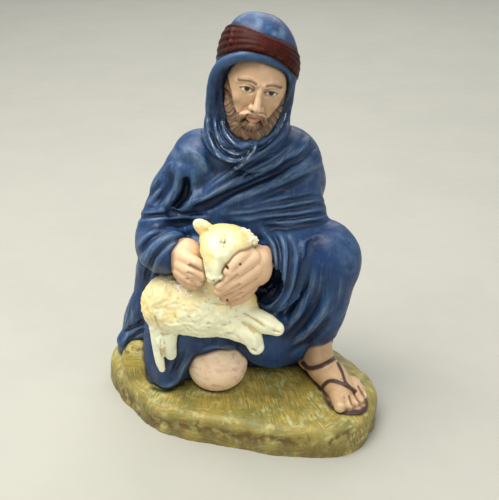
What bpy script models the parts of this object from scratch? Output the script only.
"""A shepherd kneeling on one knee with a lamb in the lap, cast in one piece with its grassy mound.

Metres, +Z up, the shepherd looks along -Y. The origin is on the flat underside, at the middle of the mound.
The figure is built as clay: lumps are put together, fused, smoothed, and its folds are drawn on the surface.
"""

import math

import bmesh
import bpy
import numpy as np
from mathutils import Euler, Matrix, Vector

FIGURE_HEIGHT = 0.188
MOUND_LENGTH = 0.132
MOUND_DEPTH = 0.094
MOUND_RIM = 0.0145
MOUND_EDGE_ROUND = 0.0055

# The pose and the carving are laid out on a figure 188 units tall, whose own middle is at x 0, y 0.
UNIT = FIGURE_HEIGHT / 188
FIGURE_PLACE = Vector((3.0, -1.5, 0.0))
CLAY_GRAIN = 1.25 * UNIT
MOST_TRIANGLES = 9600

BLUE = (0.045, 0.09, 0.19, 1.0)
PAINT_ROUGHNESS = 0.5

NODE = "shepherd_with_lamb"


def clear_scene():
    """Starts from an empty scene."""
    for old in list(bpy.data.objects):
        bpy.data.objects.remove(old)


def at(x, y, z):
    """A point of the figure's own layout, in metres in the part's frame."""
    return (Vector((x, y, z)) + FIGURE_PLACE) * UNIT


def ball(lumps, centre, radii, turn=(0, 0, 0)):
    """A ball of clay, squeezed to three radii and turned by degrees about X, Y and Z."""
    if not isinstance(radii, tuple):
        radii = (radii, radii, radii)
    lump = bmesh.new()
    bmesh.ops.create_uvsphere(lump, u_segments=28, v_segments=18, radius=1.0)
    turned = Euler([math.radians(angle) for angle in turn])
    lump.transform(Matrix.LocRotScale(at(*centre), turned, Vector(radii) * UNIT))
    lumps.append(lump)


def limb(lumps, *stations):
    """A roll of clay through (x, y, z, radius) stations, with round ends."""
    curve = bpy.data.curves.new("limb", "CURVE")
    curve.dimensions = "3D"
    curve.bevel_depth = UNIT
    curve.bevel_resolution = 6
    curve.resolution_u = 8
    curve.use_fill_caps = True
    spline = curve.splines.new("BEZIER")
    spline.bezier_points.add(len(stations) - 1)
    for point, (x, y, z, radius) in zip(spline.bezier_points, stations):
        point.co = at(x, y, z)
        point.radius = radius
        point.handle_left_type = "AUTO"
        point.handle_right_type = "AUTO"
    guide = bpy.data.objects.new("limb", curve)
    bpy.context.scene.collection.objects.link(guide)
    tube = bpy.data.meshes.new_from_object(guide.evaluated_get(bpy.context.evaluated_depsgraph_get()))
    lump = bmesh.new()
    lump.from_mesh(tube)
    bmesh.ops.remove_doubles(lump, verts=lump.verts, dist=0.01 * UNIT)
    lumps.append(lump)
    bpy.data.objects.remove(guide)
    bpy.data.meshes.remove(tube)
    bpy.data.curves.remove(curve)
    for x, y, z, radius in (stations[0], stations[-1]):
        ball(lumps, (x, y, z), radius)


def fuse(name, lumps, softening, grain=CLAY_GRAIN):
    """One closed object from overlapping lumps. Softening is how many times its creases are smoothed."""
    together = bpy.data.meshes.new(name)
    everything = bmesh.new()
    for lump in lumps:
        lump.to_mesh(together)
        everything.from_mesh(together)
        lump.free()
    everything.to_mesh(together)
    everything.free()
    made = bpy.data.objects.new(name, together)
    bpy.context.scene.collection.objects.link(made)
    remesh = made.modifiers.new("fuse", "REMESH")
    remesh.mode = "VOXEL"
    remesh.voxel_size = grain
    smooth = made.modifiers.new("soften", "SMOOTH")
    smooth.factor = 0.5
    smooth.iterations = softening
    settle(made)
    return made


def settle(made):
    """Turns an object's modifiers into its mesh."""
    graph = bpy.context.evaluated_depsgraph_get()
    final = bpy.data.meshes.new_from_object(made.evaluated_get(graph))
    old = made.data
    made.modifiers.clear()
    made.data = final
    bpy.data.meshes.remove(old)


def as_lump(made):
    """An object's clay taken back as a lump, to be fused with others."""
    lump = bmesh.new()
    lump.from_mesh(made.data)
    bpy.data.objects.remove(made)
    return lump


def scoop(made, centre, radii, turn=(0, 0, 0)):
    """A hollow scooped out of an object with a ball-shaped cutter."""
    cutters = []
    ball(cutters, centre, radii, turn)
    mesh = bpy.data.meshes.new("scoop")
    cutters[0].to_mesh(mesh)
    cutter = bpy.data.objects.new("scoop", mesh)
    bpy.context.scene.collection.objects.link(cutter)
    cut = made.modifiers.new("scoop", "BOOLEAN")
    cut.operation = "DIFFERENCE"
    cut.object = cutter
    settle(made)
    bpy.data.objects.remove(cutter)


def mound():
    """The grassy mound: a pebble with a rounded rim, longest from back left to front right."""
    outline = [
        (-0.500, 0.16), (-0.455, -0.02), (-0.35, -0.17), (-0.18, -0.31), (0.02, -0.41), (0.22, -0.485),
        (0.37, -0.47), (0.462, -0.32), (0.500, -0.11), (0.455, 0.08), (0.36, 0.27), (0.18, 0.45),
        (-0.05, 0.50), (-0.30, 0.49), (-0.455, 0.37),
    ]
    curve = bpy.data.curves.new("mound", "CURVE")
    curve.dimensions = "2D"
    curve.fill_mode = "BOTH"
    curve.extrude = MOUND_RIM / 2
    curve.bevel_depth = MOUND_EDGE_ROUND
    curve.bevel_resolution = 4
    curve.resolution_u = 6
    curve.offset = -MOUND_EDGE_ROUND
    spline = curve.splines.new("BEZIER")
    spline.use_cyclic_u = True
    spline.bezier_points.add(len(outline) - 1)
    for point, (along, across) in zip(spline.bezier_points, outline):
        point.co = (along * MOUND_LENGTH, across * MOUND_DEPTH, 0)
        point.handle_left_type = "AUTO"
        point.handle_right_type = "AUTO"
    slab = bpy.data.objects.new("slab", curve)
    bpy.context.scene.collection.objects.link(slab)
    mesh = bpy.data.meshes.new_from_object(slab.evaluated_get(bpy.context.evaluated_depsgraph_get()))
    rim = bmesh.new()
    rim.from_mesh(mesh)
    bmesh.ops.remove_doubles(rim, verts=rim.verts, dist=0.01 * UNIT)
    rim.transform(Matrix.Translation((0, 0, MOUND_RIM / 2 - MOUND_EDGE_ROUND)))
    bpy.data.objects.remove(slab)
    lumps = [rim]
    ball(lumps, (-4, 8, 6), (52, 33, 12), (0, 0, -14))
    ball(lumps, (30, -14, 5), (26, 24, 11), (0, 0, -30))
    return fuse("mound", lumps, 14)


def cloak():
    """The body under its cloak: hips, trunk, both arms, the raised leg and the cloth that hangs between."""
    lumps = []
    ball(lumps, (2, 22, 92), (30, 17, 38))
    ball(lumps, (3, 22, 50), (40, 21, 38))
    ball(lumps, (2, 22, 22), (43, 21, 16))
    ball(lumps, (-2, 12, 98), (34, 19, 28))
    ball(lumps, (-21.5, 12, 120), (16, 14, 11), (0, -24, 0))
    ball(lumps, (19, 12, 124), (16, 14, 12.5), (0, 26, 0))
    ball(lumps, (2, 8, 130), (18, 16, 11))
    # the arm on the viewer's left, its elbow out to the side and its forearm forward to the wrist
    limb(
        lumps,
        (-25, 13, 115, 12), (-34, 11, 101, 11.5), (-38, 4, 87, 12.5), (-36, -10, 87, 11), (-31, -16, 88, 9.5),
    )
    # cloth from that arm down to the mound
    limb(lumps, (-37, 6, 80, 12.5), (-39, 9, 60, 12.5), (-43.5, 14, 38, 14.5), (-49, 20, 22, 14.5))
    ball(lumps, (-53, 24, 14), (13, 14, 8), (0, 0, 30))
    limb(lumps, (-36, -2, 50, 11), (-38, -3, 32, 11), (-40, -1, 18, 9))
    ball(lumps, (-30, 18, 60), (15, 17, 42))
    # the arm on the viewer's right and its hanging sleeve
    limb(lumps, (20, 12, 119, 13), (22, 11, 102, 12), (22, 4, 88, 13), (18, -6, 84, 12), (16, -11, 80, 11))
    limb(lumps, (20, -6, 84, 11), (19, -11, 73, 9), (13, -15, 66, 7), (6, -15, 66, 5))
    # the raised leg, thigh then shin
    limb(
        lumps,
        (14, 24, 48, 18), (28, 8, 70, 16), (39, -3, 83, 12.5),
        (37.5, -3, 66, 12.5), (35, -2, 50, 12), (34.5, 0, 43, 10.5),
    )
    limb(lumps, (28, 8, 40, 14), (26, 22, 32, 14))
    ball(lumps, (25, 0, 58), (16, 12.5, 25), (0, 6, 0))
    # the curtain of cloth between the shin and the kneeling leg
    ball(lumps, (16, 6, 44), (24, 14, 28), (0, 14, 0))
    limb(lumps, (2, -3, 40, 11), (13, 1, 30, 11), (22, 4, 30, 9))
    # the lap that the lamb lies on
    ball(lumps, (-12, -6, 54), (26, 12, 15))
    ball(lumps, (3, -9, 55), (17, 12, 12))
    ball(lumps, (-14, 0, 76), (22, 13, 16))
    # the kneeling thigh, and the flap that hangs from it
    limb(lumps, (-6, 22, 36, 20), (-16, 4, 38, 17), (-17, -4, 38, 12))
    limb(lumps, (-28, -8, 48, 11), (-33, -9, 32, 9), (-37, -7.5, 21, 8))
    ball(lumps, (-25, -2, 20), (9, 9, 10))
    # the calf and heel folded under the cloak at the back
    limb(lumps, (-12, 4, 22, 11), (-14, 24, 24, 12), (-12, 34, 19, 9))
    body = fuse("cloak", lumps, 14)
    scoop(body, (5, -20, 78), (10, 11, 10))
    scoop(body, (-27, -18, 78), (7, 8, 9))
    return body


def head_cloth():
    """The cloth over the head and round the neck, with the room for the face cut into it and a rolled rim."""
    lumps = []
    ball(lumps, (5, 1, 165), (17.3, 20, 23.5), (4, 10, 0))
    ball(lumps, (2.2, 2, 150), (18, 16, 20))
    ball(lumps, (1, 3, 139), (18, 17, 14))
    ball(lumps, (3, 11, 140), (17, 16, 26))
    ball(lumps, (1, 16, 122), (23, 16, 20))
    ball(lumps, (0, 21, 110), (25, 17, 18))
    cloth = fuse("head_cloth", lumps, 5)
    scoop(cloth, (3.6, -17, 157.5), (15, 14, 18), (-4, 10, 0))
    lumps = [as_lump(cloth)]
    limb(
        lumps,
        (-13, -6, 145, 3.2), (-12.8, -8, 156, 3), (-10.5, -9.5, 167, 2.7),
        (-4.5, -14, 173.5, 2.4), (4, -16, 174.8, 2.4), (12, -13.8, 172, 2.4),
        (17.6, -8, 165, 2.5), (18.2, -4.5, 156, 2.6), (17, -3.5, 146, 2.8),
    )
    # the folds of the cloth under the beard, the lowest one first
    limb(
        lumps,
        (-15, 2, 148, 3.2), (-15, 0, 139, 3.6), (-11, -7, 133, 3.8), (-2, -10.5, 131.8, 3.8),
        (7, -9, 134.5, 3.6), (13.5, -3, 139.5, 3.4), (16, 2, 147, 3.2),
    )
    limb(
        lumps,
        (-13, -6, 147, 2.8), (-11, -9, 140.5, 2.8), (-5, -13, 137, 2.8),
        (3, -13.5, 137, 2.8), (10, -9, 140.5, 2.8), (15, -4, 147, 2.6),
    )
    return fuse("head_cloth", lumps, 1)


def brow_band():
    """The band round the head cloth, high at the brow and low at the nape, of three cords side by side."""
    tilt = Euler((math.radians(-30), math.radians(12), 0)).to_matrix()
    middle = (5.7, 3.2, 172.2)
    cord_radius = 2.4
    deeper_than_wide = 3.4
    steps = 16
    lumps = []
    for reach, rise in ((16.4, -3.4), (16.1, 0.0), (15.0, 3.4)):
        ring = []
        for step in range(steps + 1):
            turn = step * math.tau / steps
            across, back = reach * math.cos(turn), (reach + deeper_than_wide) * math.sin(turn)
            spot = [centre + part for centre, part in zip(middle, tilt @ Vector((across, back, rise)))]
            ring.append((*spot, cord_radius))
        limb(lumps, *ring)
    return fuse("brow_band", lumps, 1)


def head():
    """The head inside the cloth, with nose, brows, cheeks and a short full beard."""
    lumps = []
    ball(lumps, (4.1, -4.5, 158.5), (13, 13.5, 19), (-4, 10, 0))
    ball(lumps, (3.4, -8.5, 150), (11.3, 9.5, 9))
    ball(lumps, (2.0, -10.5, 145.5), (8.5, 7.5, 6.0))
    limb(lumps, (5.9, -17.2, 165.5, 1.5), (5.2, -19.8, 160.5, 2.0), (5.0, -20.0, 159, 2.4))
    return fuse("head", lumps, 3)


def lamb():
    """The lamb that lies across the lap, head up against the shepherd's hands."""
    lumps = []
    ball(lumps, (-33.5, -15, 62), (14, 12, 15))
    ball(lumps, (-18, -17, 63), (24, 13, 15))
    ball(lumps, (-3, -18, 62), (13, 11, 13.5))
    limb(lumps, (-8, -20, 74, 10), (-7, -22, 92, 8.5))
    ball(lumps, (-8, -21.5, 100), (11.5, 9.5, 9.5))
    limb(lumps, (-10.5, -25, 96, 9), (-12, -29.5, 89, 6.4), (-12, -32, 84.5, 4.2))
    limb(lumps, (-14, -20, 104, 3.4), (-18, -19.5, 107.5, 3.6), (-20.5, -19.5, 109, 2.6))
    limb(lumps, (0, -21, 101, 3.2), (4.5, -21.5, 97.5, 2.8))
    # forelegs, stretched towards the viewer's right
    limb(lumps, (-3, -22, 61, 6.5), (7, -24, 60, 5), (15, -25.5, 58.5, 3.6))
    limb(lumps, (-9, -22, 56, 6.5), (0, -24.5, 51, 5.2), (6.5, -26, 48.8, 3.8))
    # hind legs, hanging
    limb(lumps, (-41, -19, 54, 5), (-41.5, -19, 43, 3.8), (-38.5, -18, 33, 2.8))
    limb(lumps, (-34, -18, 52, 5), (-33, -18, 43, 4.2), (-35.5, -17.5, 36, 3))
    return fuse("lamb", lumps, 4)


def hands():
    """Both hands, each a palm, four fingers side by side and a thumb."""
    lumps = []
    ball(lumps, (-28, -20.5, 91), (9.5, 7.5, 8.5), (0, 20, 0))
    for row in range(4):
        drop = 3.4 * row
        limb(
            lumps,
            (-30 + 1.2 * row, -24.5, 91 - drop, 2.9),
            (-22 + 0.8 * row, -27.5, 88.5 - drop, 2.6),
            (-14 - 1.0 * row, -28, 88 - drop, 2.1),
        )
    ball(lumps, (8, -22, 88), (10.5, 8, 9), (0, -30, 0))
    for row in range(4):
        drop = 3.7 * row
        limb(
            lumps,
            (7 - 0.2 * row, -27, 89 - drop, 3.1),
            (-4 + 1.0 * row, -31.5, 85.5 - drop, 2.9),
            (-12.5 + 2.6 * row, -33, 83 - drop, 2.3),
        )
    limb(lumps, (6.5, -27, 93, 3.2), (-2, -31, 90.5, 2.8), (-7, -33.5, 88.5, 2.3))
    return fuse("hands", lumps, 2)


def bare_knee():
    """The knee that he kneels on, bare under the edge of the cloak."""
    lumps = []
    ball(lumps, (-12.5, -6, 26.5), (13.5, 12.5, 14))
    return fuse("bare_knee", lumps, 4)


def foot():
    """The sandalled foot at the viewer's right, its sole and the ankle that goes up into the cloak."""
    lumps = []
    limb(
        lumps,
        (34, 4, 36, 7.5), (35, 3.5, 27, 7), (37, -3, 22.5, 7), (42.5, -14, 21, 6.6), (47.5, -24, 19, 5.4),
    )
    ball(lumps, (34, 4.5, 21), (6.8, 7, 6.5))
    for toe in range(5):
        limb(
            lumps,
            (44.5 + 2.4 * toe, -24 + 1.2 * toe, 18.2, 2.2),
            (46.3 + 2.1 * toe, -28.5 + 1.7 * toe, 17.5, 1.9),
        )
    skin = fuse("foot", lumps, 4)
    lumps = [as_lump(skin)]
    ball(lumps, (35.5, 1, 15.5), (8, 9, 2.4))
    ball(lumps, (46.5, -20.5, 15), (9.5, 12.5, 2.4), (0, 0, 28))
    ball(lumps, (40.5, -10, 15.2), (8, 14, 2.4), (0, 0, 26))
    return fuse("sandalled_foot", lumps, 1)


# A view is where a fold is drawn from: the way across, the way up, and the way towards the viewer.
VIEWS = {
    "back": ((-1, 0, 0), (0, 0, 1), (0, 1, 0)),
    "left": ((0, -1, 0), (0, 0, 1), (-1, 0, 0)),
    "right": ((0, 1, 0), (0, 0, 1), (1, 0, 0)),
}


# The front is drawn from a point some way above: its folds are places in a picture taken from there,
# 499 by 500 pixels, whose middle looks at EYE_TARGET.
EYE_TARGET = Vector((2.0, 0.0, 82.0))
EYE_DISTANCE = 410.0
EYE_ELEVATION = math.radians(26)
EYE_LENS = 900.0
PICTURE_MIDDLE = (249.5, 250.0)

# A fold leaves clay that faces away from its view, and is at full strength on clay that faces it well.
LEAST_FACING = 0.05
FACING_GAIN = 2.5
END_ROUNDNESS = 0.7


def seen_from_eye(local):
    """Where points of the layout are in the eye's picture, and the way from each back to the eye."""
    ahead = np.array((0, math.cos(EYE_ELEVATION), -math.sin(EYE_ELEVATION)))
    up = np.array((0, math.sin(EYE_ELEVATION), math.cos(EYE_ELEVATION)))
    sight = local - (np.array(EYE_TARGET) - ahead * EYE_DISTANCE)
    depth = sight @ ahead
    flat = np.stack([
        PICTURE_MIDDLE[0] + EYE_LENS * sight[:, 0] / depth,
        PICTURE_MIDDLE[1] - EYE_LENS * (sight @ up) / depth,
    ], 1)
    return flat, -sight / np.linalg.norm(sight, axis=1)[:, None]


def smooth_path(points, steps=6):
    """A Catmull-Rom curve through a few points, as a row of close ones."""
    rows = np.array(points, float)
    padded = np.vstack([2 * rows[0] - rows[1], rows, 2 * rows[-1] - rows[-2]])
    found = []
    for i in range(1, len(padded) - 2):
        a, b, c, d = padded[i - 1 : i + 3]
        for t in np.linspace(0, 1, steps, endpoint=False):
            bend = (2 * a - 5 * b + 4 * c - d) * t**2
            twist = (3 * b - a - 3 * c + d) * t**3
            found.append(0.5 * (2 * b + (c - a) * t + bend + twist))
    found.append(rows[-1])
    return np.array(found)


def nearest_on(path, spots):
    """For each spot: its distance to the path, how far along the path that is, and which side it is on."""
    start, end = path[:-1], path[1:]
    along = end - start
    length = np.maximum((along**2).sum(1), 1e-12)
    gap = spots[:, None, :] - start[None]
    share = np.clip((gap * along).sum(2) / length, 0, 1)
    away = gap - share[..., None] * along
    distance = np.sqrt((away**2).sum(2))
    best = distance.argmin(1)
    rows = np.arange(len(spots))
    side = np.sign(along[best, 0] * gap[rows, best, 1] - along[best, 1] * gap[rows, best, 0])
    return distance[rows, best], (best + share[rows, best]) / len(start), side


class Clay:
    """A mesh whose points are moved by folds drawn on it from a view."""

    def __init__(self, mesh):
        self.mesh = mesh
        self.points = np.zeros(len(mesh.vertices) * 3, np.float32)
        mesh.vertices.foreach_get("co", self.points)
        self.points = self.points.reshape(-1, 3).astype(float)

    def normals(self):
        """The way each point of the surface faces, after all that was drawn on it so far."""
        self.mesh.vertices.foreach_set("co", self.points.astype(np.float32).ravel())
        self.mesh.update()
        found = np.zeros(len(self.points) * 3, np.float32)
        self.mesh.vertices.foreach_get("normal", found)
        return found.reshape(-1, 3).astype(float)

    def fold(self, view, points, width, height, kind="ridge", taper=0.25):
        """Raises a ridge, or sinks a groove, along a path of (across, up) points, and thins it to its ends.

        Width and height are in the figure's units, and so are the points, except in the eye's picture.
        An edge is a step: the ground to the left of the path stands higher than the ground to its right.
        Taper is the share of the path, at each end, over which the fold dies away.
        """
        local = self.points / UNIT - np.array(FIGURE_PLACE)
        if view == "eye":
            flat, towards = seen_from_eye(local)
            scale = EYE_LENS / EYE_DISTANCE
        else:
            across, up, towards = (np.array(axis, float) for axis in VIEWS[view])
            flat = np.stack([local @ across, local @ up], 1)
            scale = 1.0
        width = width * scale
        path = smooth_path(points)
        reach = 3 * width
        close = (flat > path.min(0) - reach).all(1) & (flat < path.max(0) + reach).all(1)
        facing = (self.normals() * towards).sum(1)
        close &= facing > LEAST_FACING
        index = np.nonzero(close)[0]
        if not len(index):
            return
        distance, share, side = nearest_on(path, flat[index])
        ends = np.minimum(share, 1 - share) / max(taper, 1e-6)
        strength = np.clip(ends, 0, 1) ** END_ROUNDNESS * np.clip(facing[index] * FACING_GAIN, 0, 1)
        if kind == "ridge":
            move = np.exp(-((distance / width) ** 2))
        elif kind == "groove":
            move = -np.exp(-((distance / width) ** 2))
        elif kind == "edge":
            move = np.where(side > 0, np.exp(-distance / width), -0.4 * np.exp(-distance / (0.5 * width)))
        self.points[index] += self.normals()[index] * (move * strength * height * UNIT)[:, None]


# Every fold is (kind, width, height, path). The front ones are drawn from the eye, in its picture.
FRONT_FOLDS = [
    # the mantle across the chest, from the viewer's right shoulder down to the elbow on the left
    ("groove", 2.6, 2.2, [(286, 132), (262, 152), (239, 166), (225, 177), (205, 192), (189, 204)]),
    ("ridge", 3.0, 2.6, [(293, 126), (270, 151), (250, 169), (226, 186), (203, 198), (180, 211)]),
    ("groove", 3.2, 3.0, [(318, 156), (290, 171), (256, 189), (220, 204), (197, 211), (176, 214)]),
    ("groove", 2.0, 2.0, [(262, 140), (256, 150), (247, 158), (232, 166), (220, 164)]),
    ("ridge", 3.4, 1.4, [(318, 170), (300, 178), (276, 190), (252, 200)]),
    ("groove", 2.2, 1.6, [(323, 190), (304, 197), (280, 202), (252, 205), (232, 207)]),
    ("ridge", 2.2, 1.5, [(322, 198), (300, 205), (275, 210), (250, 212), (226, 212)]),
    ("groove", 2.0, 1.6, [(318, 206), (296, 212), (270, 215), (245, 217), (225, 216)]),
    ("ridge", 1.8, 1.4, [(312, 213), (290, 218), (268, 221), (246, 221)]),
    ("groove", 2.6, 2.0, [(322, 222), (300, 225), (276, 227), (258, 224)]),
    # the shoulder on the left, the hollow under it and the folds that fan out from the hollow
    ("ridge", 3.0, 1.6, [(196, 146), (203, 158), (207, 171), (213, 180)]),
    ("groove", 2.8, 3.6, [(184, 180), (182, 193), (174, 203), (161, 211)]),
    ("ridge", 2.2, 2.0, [(178, 168), (170, 178), (160, 188), (150, 193)]),
    ("groove", 1.8, 1.8, [(176, 180), (166, 191), (152, 196)]),
    ("ridge", 2.0, 1.6, [(176, 192), (164, 200), (150, 204)]),
    # the sleeve on the left
    ("groove", 2.2, 1.8, [(192, 222), (168, 225), (144, 223)]),
    ("ridge", 2.6, 2.2, [(193, 228), (166, 237), (151, 251), (140, 267), (137, 288)]),
    ("groove", 2.6, 2.4, [(188, 235), (168, 245), (154, 259), (146, 276), (141, 296)]),
    # the sleeve on the right, hanging round its hollow
    ("groove", 3.4, 3.4, [(271, 268), (268, 284), (260, 294), (252, 296)]),
    ("ridge", 2.0, 1.6, [(262, 246), (277, 252), (281, 268), (277, 290), (267, 304), (254, 303)]),
    ("groove", 1.8, 2.0, [(284, 248), (289, 262), (286, 284), (278, 302), (266, 311), (254, 310)]),
    ("ridge", 2.2, 1.8, [(291, 246), (297, 260), (293, 284), (285, 303), (270, 316), (258, 316)]),
    ("groove", 3.0, 3.0, [(304, 262), (304, 280), (297, 298), (285, 313), (275, 322)]),
    # the cloth from the raised knee down to the hem
    ("ridge", 3.0, 1.8, [(314, 262), (310, 288), (301, 308), (290, 324), (281, 332)]),
    ("groove", 2.4, 1.8, [(321, 290), (311, 312), (297, 329), (281, 342)]),
    ("ridge", 2.4, 1.6, [(331, 300), (319, 320), (303, 336), (283, 350)]),
    ("groove", 2.0, 1.4, [(334, 316), (320, 331), (303, 344), (288, 354)]),
    # the flap over the bare knee and the drape on the left
    ("groove", 2.4, 2.0, [(218, 343), (232, 344), (246, 351), (262, 358)]),
    ("groove", 2.2, 1.6, [(181, 350), (176, 362), (174, 376)]),
    ("ridge", 3.0, 2.0, [(135, 296), (131, 316), (122, 332), (117, 341)]),
    ("groove", 2.6, 2.2, [(142, 306), (138, 322), (133, 334), (124, 345)]),
]

BACK_FOLDS = [
    # the lower edge of the head cloth over the mantle, and its folds
    ("edge", 3.4, 2.6, [(-27, 116), (-20, 103), (-9, 95), (2, 92), (12, 95), (22, 104), (28, 117)]),
    ("groove", 2.6, 2.2, [(-13, 146), (-11, 126), (-12, 104)]),
    ("groove", 2.4, 1.8, [(-2, 150), (0, 126), (-1, 100)]),
    ("ridge", 2.6, 1.8, [(4, 148), (6, 124), (7, 98)]),
    ("groove", 2.6, 2.2, [(11, 146), (13, 126), (15, 104)]),
    # the mantle from the shoulders down to the mound
    ("groove", 3.4, 2.6, [(-30, 104), (-30, 80), (-34, 52), (-38, 22)]),
    ("ridge", 3.6, 2.4, [(-20, 88), (-23, 62), (-26, 40), (-28, 16)]),
    ("groove", 3.2, 3.0, [(-12, 86), (-14, 60), (-15, 38), (-16, 14)]),
    ("ridge", 3.4, 2.0, [(-4, 84), (-4, 58), (-3, 36), (-4, 14)]),
    ("groove", 3.4, 3.0, [(5, 86), (7, 62), (10, 38), (10, 14)]),
    ("ridge", 3.6, 2.4, [(15, 92), (19, 66), (24, 42), (26, 14)]),
    ("groove", 3.2, 2.6, [(24, 98), (30, 72), (36, 46), (42, 20)]),
    ("ridge", 3.0, 2.0, [(33, 98), (38, 74), (45, 48), (52, 24)]),
]

LEFT_FOLDS = [
    ("groove", 3.2, 2.6, [(-14, 112), (-10, 92), (-14, 60), (-20, 24)]),
    ("ridge", 3.2, 2.0, [(-22, 108), (-20, 80), (-26, 50), (-34, 22)]),
    ("groove", 3.0, 2.4, [(-28, 96), (-29, 70), (-36, 44), (-41, 22)]),
    ("ridge", 3.0, 2.0, [(-4, 78), (-6, 56), (-10, 36), (-12, 20)]),
]

RIGHT_FOLDS = [
    ("groove", 3.4, 2.8, [(6, 92), (14, 74), (22, 50), (24, 22)]),
    ("ridge", 3.4, 2.2, [(0, 86), (8, 64), (14, 42), (15, 22)]),
    ("groove", 3.0, 2.4, [(-2, 72), (3, 54), (6, 38), (6, 28)]),
    ("ridge", 3.4, 2.2, [(16, 104), (24, 80), (31, 52), (34, 22)]),
    ("groove", 3.2, 2.6, [(24, 108), (32, 82), (38, 54), (41, 20)]),
    ("groove", 2.6, 2.0, [(4, 118), (10, 104), (18, 92)]),
    ("ridge", 2.6, 1.8, [(12, 120), (18, 106), (26, 92)]),
]


def draw_folds(clay):
    """Draws the folds of all four sides on the clothes."""
    sides = {"eye": FRONT_FOLDS, "back": BACK_FOLDS, "left": LEFT_FOLDS, "right": RIGHT_FOLDS}
    for view, folds in sides.items():
        for kind, width, height, path in folds:
            clay.fold(view, path, width, height, kind)
    clay.normals()


def build():
    """The whole figure: its parts fused into one piece, thinned to few faces, and cut flat underneath."""
    clear_scene()
    clothes = fuse("clothes", [as_lump(cloak()), as_lump(head_cloth())], 3)
    draw_folds(Clay(clothes.data))
    groups = [clothes, brow_band(), head(), lamb(), hands(), bare_knee(), foot(), mound()]
    figure = fuse(NODE, [as_lump(group) for group in groups], 1)

    thin = figure.modifiers.new("thin", "DECIMATE")
    figure.data.calc_loop_triangles()
    thin.ratio = MOST_TRIANGLES / len(figure.data.loop_triangles)
    thin.use_collapse_triangulate = True
    settle(figure)

    solid = bmesh.new()
    solid.from_mesh(figure.data)
    cut = bmesh.ops.bisect_plane(
        solid,
        geom=solid.verts[:] + solid.edges[:] + solid.faces[:],
        plane_co=(0, 0, 0),
        plane_no=(0, 0, -1),
        clear_outer=True,
    )
    rim = [edge for edge in cut["geom_cut"] if isinstance(edge, bmesh.types.BMEdge)]
    bmesh.ops.holes_fill(solid, edges=rim)
    bmesh.ops.triangulate(solid, faces=solid.faces)
    solid.to_mesh(figure.data)
    solid.free()

    paint = bpy.data.materials.new("painted_plaster")
    paint.use_nodes = True
    shader = paint.node_tree.nodes["Principled BSDF"]
    shader.inputs["Base Color"].default_value = BLUE
    shader.inputs["Roughness"].default_value = PAINT_ROUGHNESS
    figure.data.materials.clear()
    figure.data.materials.append(paint)
    figure.data.shade_smooth()
    return figure


build()
